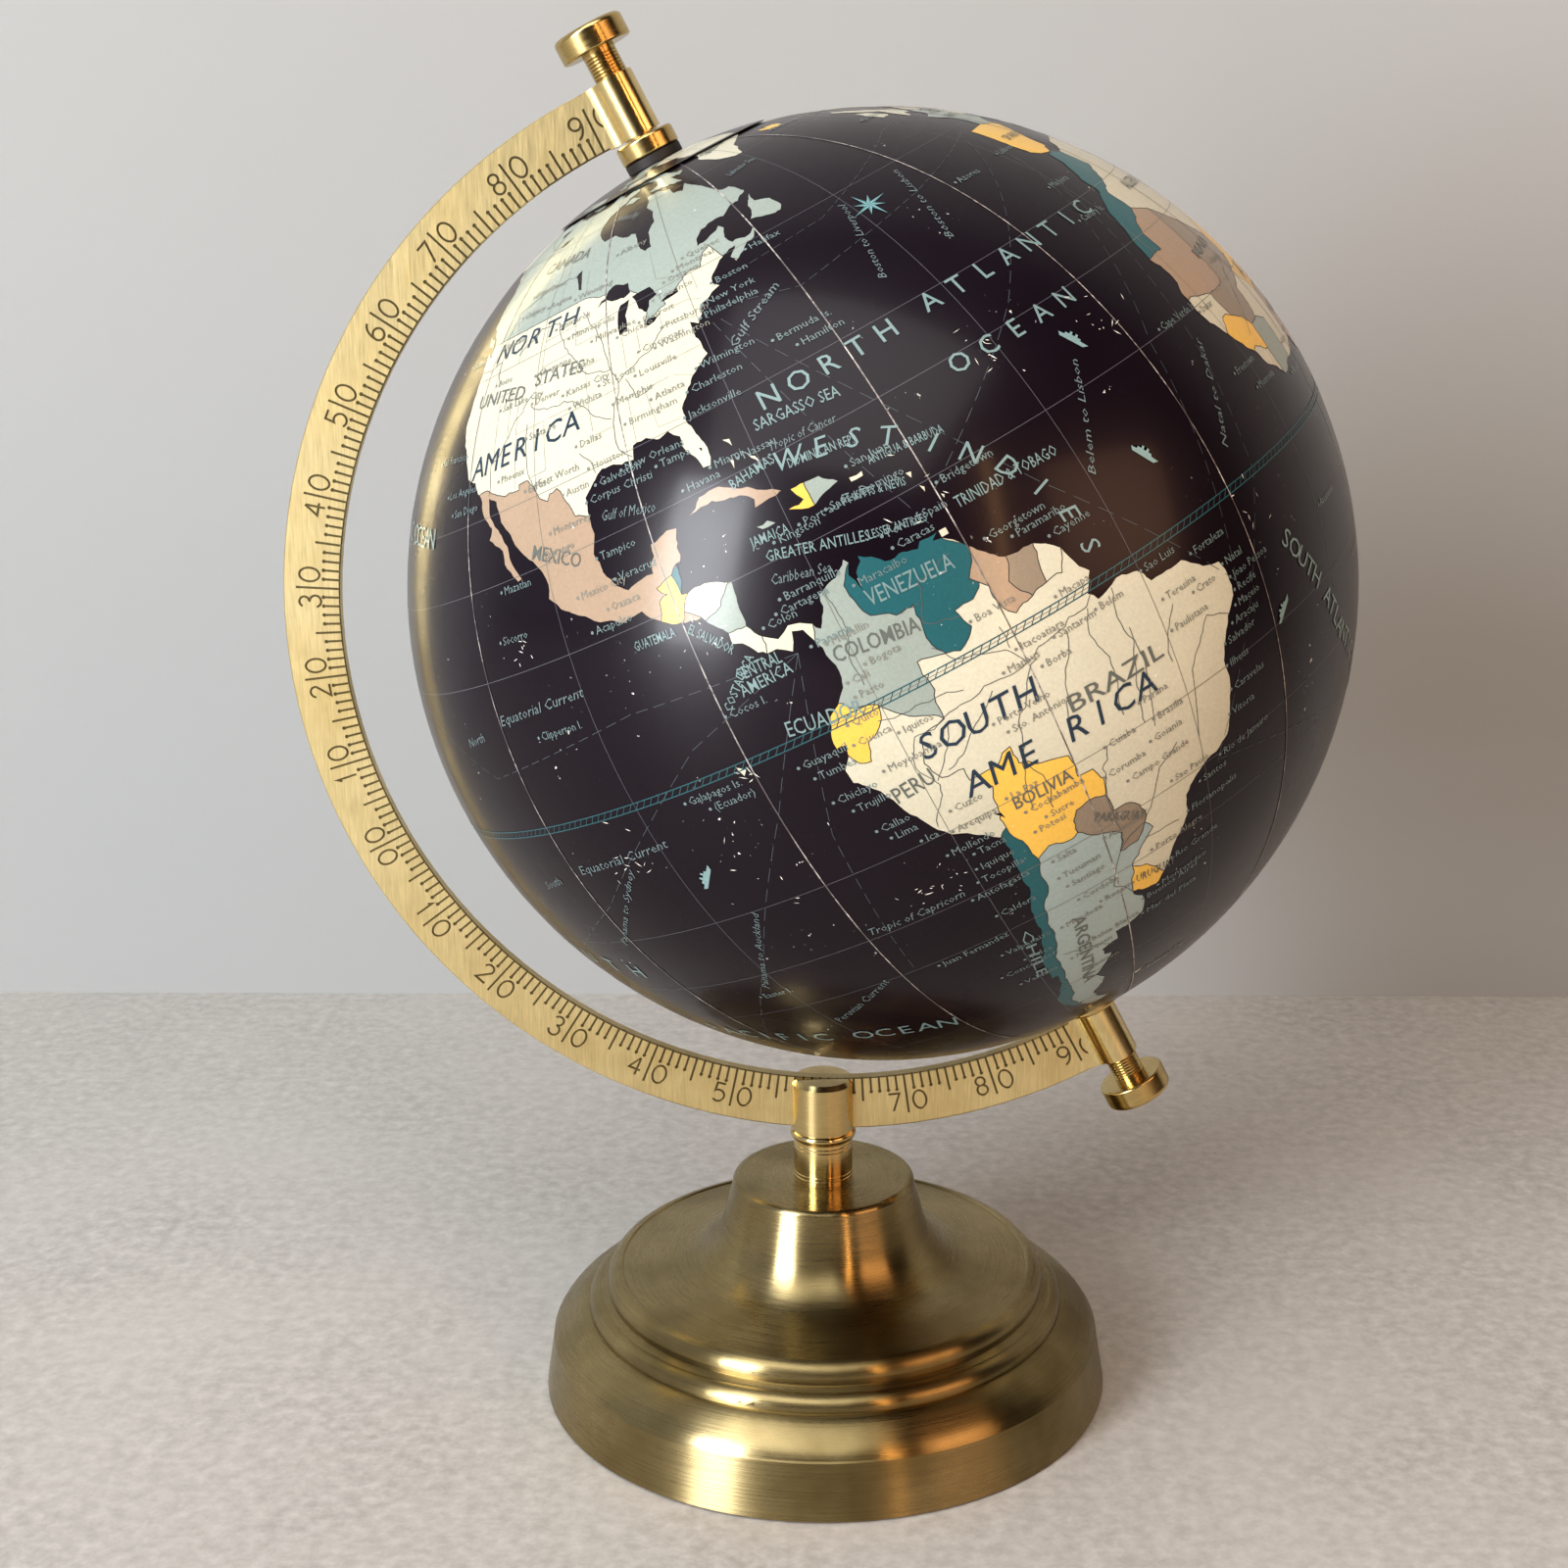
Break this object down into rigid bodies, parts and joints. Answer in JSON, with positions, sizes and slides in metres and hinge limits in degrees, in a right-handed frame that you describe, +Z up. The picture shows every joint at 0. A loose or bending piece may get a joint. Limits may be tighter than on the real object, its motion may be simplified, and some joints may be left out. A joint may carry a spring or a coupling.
{
  "type": "desktop globe on stand",
  "caption": "Tilted terrestrial globe on a graduated brass half-meridian, carried by a short stem on a round stepped brass base.",
  "frame": {"origin": "middle of the foot on the stem's axis, at the face that rests on the desk", "axes": "+Z up the stem, +X towards the side where the ball overhangs (north pole leans to -X), -Y is the numbered front of the arc"},
  "size_m": [0.2318, 0.2032, 0.3092],
  "materials": {
    "base_brass": "brushed",
    "stem_brass": "polished",
    "arc_brass": "satin",
    "pivot_brass": "polished",
    "steel": "zinc plated",
    "plate_steel": "plain",
    "ballast_iron": "rough",
    "felt": "felt",
    "board": "moulded board",
    "map_paper": "printed and lacquered",
    "fibre": "dark fibre"
  },
  "bodies": {
    "stand": {"base_shell": "base_brass", "base_plate": "plate_steel", "base_ballast": "ballast_iron", "base_felt": "felt", "stem_washer": "steel", "stem_bolt": "steel", "lower_stem": "stem_brass", "upper_stem": "stem_brass", "arc_screw": "stem_brass", "meridian_arc": "arc_brass"},
    "globe": {"north_shell": "board", "south_shell": "board", "equator_strip": "board", "map_gores": "map_paper", "north_calotte": "map_paper", "south_calotte": "map_paper", "north_washer": "fibre", "south_washer": "fibre", "north_ferrule": "pivot_brass", "south_ferrule": "pivot_brass", "north_nut": "steel", "south_nut": "steel"},
    "upper_pivot": {"upper_spindle": "pivot_brass", "upper_knob": "pivot_brass"},
    "lower_pivot": {"lower_spindle": "pivot_brass", "lower_knob": "pivot_brass"}
  },
  "joints": [
    {"name": "globe_spin", "type": "hinge", "parent": "stand", "child": "globe", "pos_m": [0.0131, 0, 0.1883], "axis": [-0.454, 0, 0.891], "continuous": true},
    {"name": "upper_pivot_draw", "type": "slide", "parent": "stand", "child": "upper_pivot", "axis": [-0.454, 0, 0.891], "range_m": [0, 0.0065]},
    {"name": "lower_pivot_draw", "type": "slide", "parent": "stand", "child": "lower_pivot", "axis": [0.454, 0, -0.891], "range_m": [0, 0.0065]}
  ]
}
